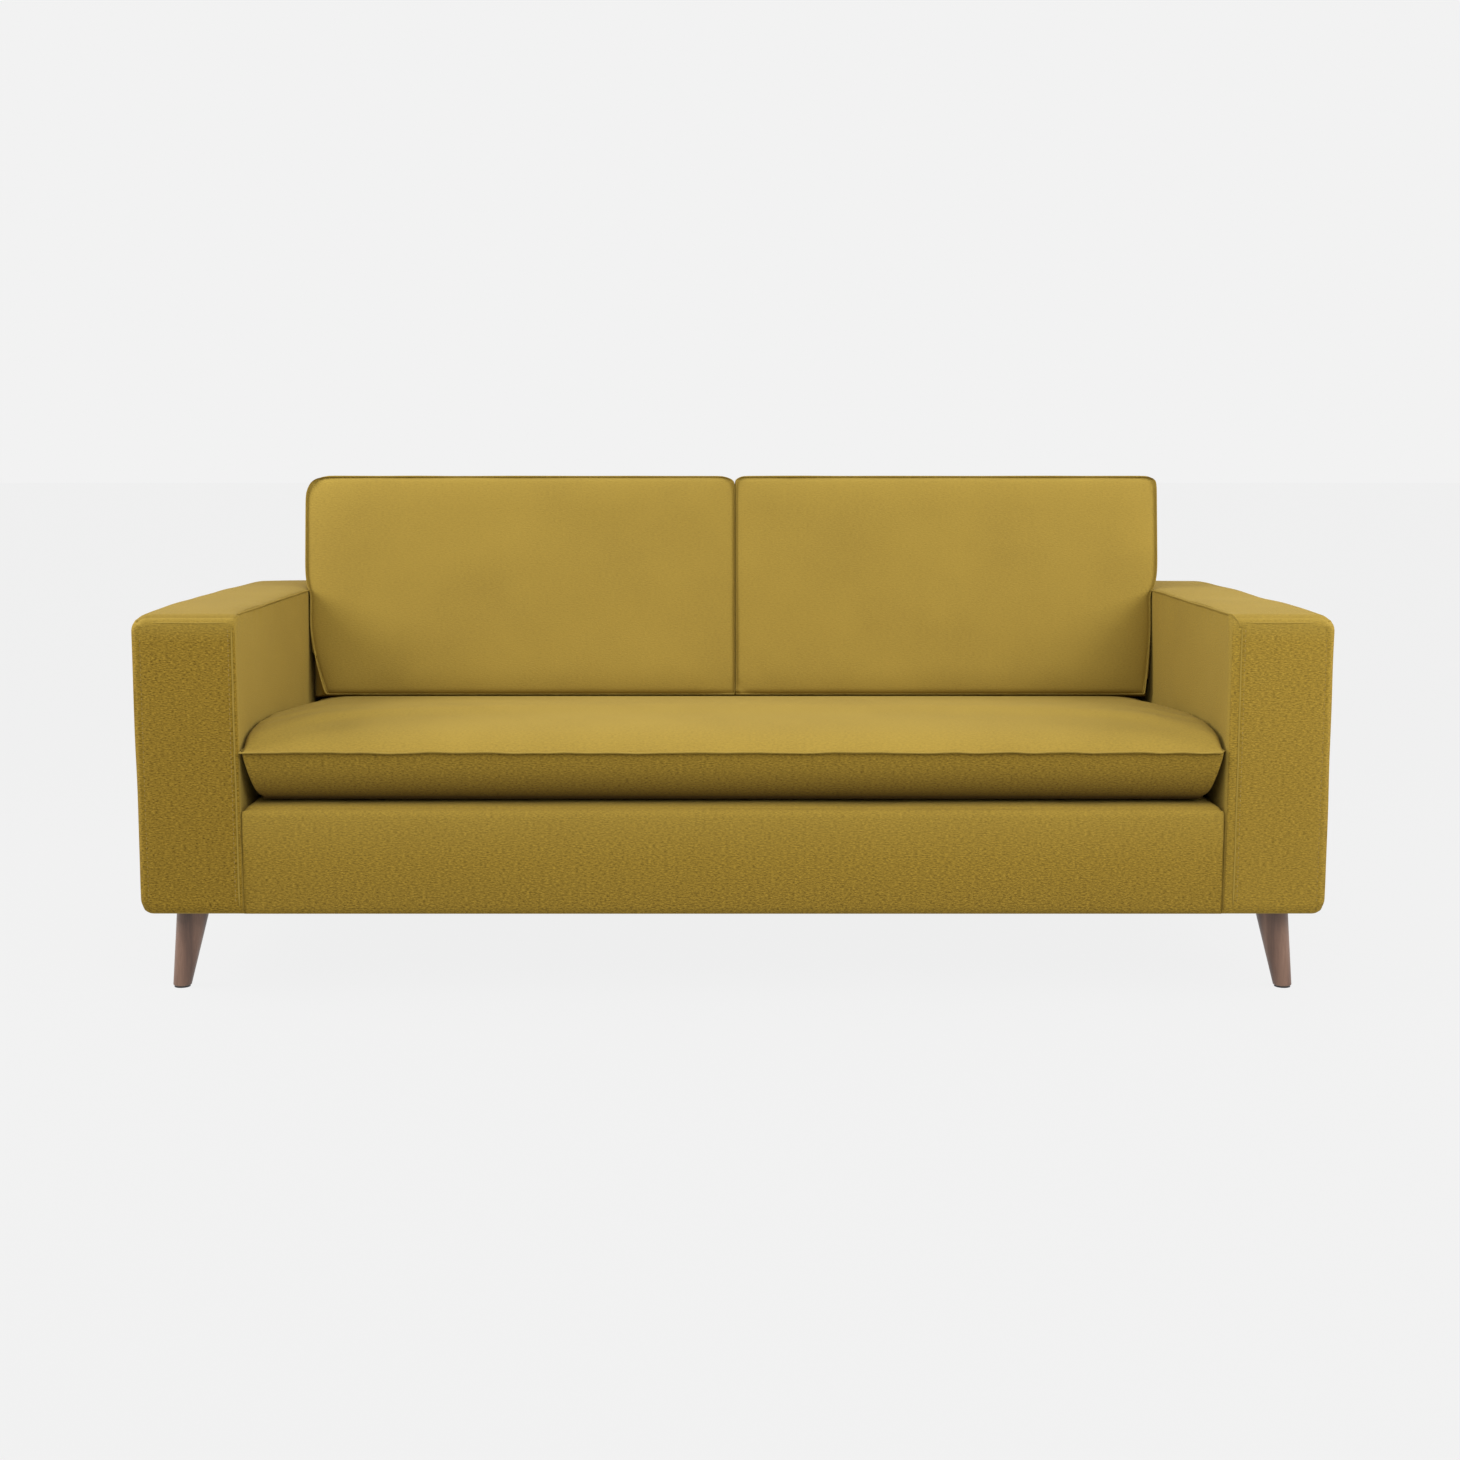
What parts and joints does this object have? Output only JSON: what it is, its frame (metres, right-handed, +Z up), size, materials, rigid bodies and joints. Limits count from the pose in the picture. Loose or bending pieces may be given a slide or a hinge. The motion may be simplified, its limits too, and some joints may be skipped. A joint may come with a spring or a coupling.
{
  "type": "three-seat sofa",
  "caption": "Low three-seat sofa with square track arms, one long flanged seat cushion, loose back cushions in mustard fabric, and splayed tapered wooden legs.",
  "frame": {"origin": "on the floor under the middle of the sofa's overall width and depth", "axes": "+X to the right of someone facing the sofa, +Y from front to back, +Z up"},
  "size_m": [2.06, 0.93, 0.894],
  "materials": {
    "walnut": "satin stained hardwood",
    "glide_plastic": "matt",
    "plated_steel": "bright zinc plating",
    "plywood": "raw",
    "softwood": "raw",
    "hardboard": "raw pressed board",
    "foam": "open-cell foam",
    "fibre_filling": "fibre in a white inner cover",
    "upholstery_fabric": "mustard ribbed chenille weave",
    "lining_cloth": "plain woven lining",
    "dust_cloth": "thin spun-bonded cloth",
    "felt": "needled felt",
    "webbing": "elastic woven strap",
    "spring_steel": "oiled black wire",
    "zip_tape": "woven tape with a coil",
    "zip_metal": "dull plated"
  },
  "bodies": {
    "base": {"front_left_leg": "walnut", "front_right_leg": "walnut", "rear_left_leg": "walnut", "rear_right_leg": "walnut", "leg_glides": "glide_plastic", "leg_studs": "plated_steel", "leg_plates": "plated_steel", "leg_plate_screws": "plated_steel", "arm_bolts": "plated_steel", "left_arm_front_board": "plywood", "left_arm_rear_board": "plywood", "left_arm_top_board": "plywood", "right_arm_front_board": "plywood", "right_arm_rear_board": "plywood", "right_arm_top_board": "plywood", "back_posts": "plywood", "left_arm_bottom_board": "softwood", "right_arm_bottom_board": "softwood", "front_rail": "softwood", "rear_rail": "softwood", "left_side_rail": "softwood", "right_side_rail": "softwood", "cross_rails": "softwood", "corner_blocks": "softwood", "back_top_rail": "softwood", "back_lumbar_rails": "softwood", "left_arm_inner_panel": "hardboard", "left_arm_outer_panel": "hardboard", "right_arm_inner_panel": "hardboard", "right_arm_outer_panel": "hardboard", "left_arm_foam": "foam", "right_arm_foam": "foam", "deck_foam": "foam", "border_foam": "foam", "back_foam": "foam", "left_arm_cover": "upholstery_fabric", "right_arm_cover": "upholstery_fabric", "border_cover": "upholstery_fabric", "inside_back_cover": "upholstery_fabric", "outside_back_cover": "upholstery_fabric", "deck_cloth": "lining_cloth", "dust_cover": "dust_cloth", "spring_insulator": "felt", "back_webbing": "webbing", "seat_springs": "spring_steel", "spring_clips": "spring_steel"},
    "seat_cushion": {"seat_cushion_cover": "upholstery_fabric", "seat_cushion_core": "foam", "seat_cushion_zip": "zip_tape"},
    "left_back_cushion": {"left_back_cushion_cover": "upholstery_fabric", "left_back_cushion_filling": "fibre_filling", "left_back_cushion_zip": "zip_tape"},
    "right_back_cushion": {"right_back_cushion_cover": "upholstery_fabric", "right_back_cushion_filling": "fibre_filling", "right_back_cushion_zip": "zip_tape"},
    "seat_cushion_zip_slider": {"seat_cushion_zip_slider": "zip_metal"},
    "left_back_cushion_zip_slider": {"left_back_cushion_zip_slider": "zip_metal"},
    "right_back_cushion_zip_slider": {"right_back_cushion_zip_slider": "zip_metal"}
  },
  "joints": [
    {"name": "seat_cushion_pull_out", "type": "slide", "parent": "base", "child": "seat_cushion", "axis": [0, -1, 0], "range_m": [0, 0.6]},
    {"name": "left_back_cushion_lift", "type": "slide", "parent": "base", "child": "left_back_cushion", "axis": [0, 0.1564, 0.9877], "range_m": [0, 0.45]},
    {"name": "right_back_cushion_lift", "type": "slide", "parent": "base", "child": "right_back_cushion", "axis": [0, 0.1564, 0.9877], "range_m": [0, 0.45]},
    {"name": "seat_cushion_zip_pull", "type": "slide", "parent": "seat_cushion", "child": "seat_cushion_zip_slider", "axis": [1, 0, 0], "range_m": [0, 1.44]},
    {"name": "left_back_cushion_zip_pull", "type": "slide", "parent": "left_back_cushion", "child": "left_back_cushion_zip_slider", "axis": [1, 0, 0], "range_m": [0, 0.58]},
    {"name": "right_back_cushion_zip_pull", "type": "slide", "parent": "right_back_cushion", "child": "right_back_cushion_zip_slider", "axis": [1, 0, 0], "range_m": [0, 0.58]}
  ]
}
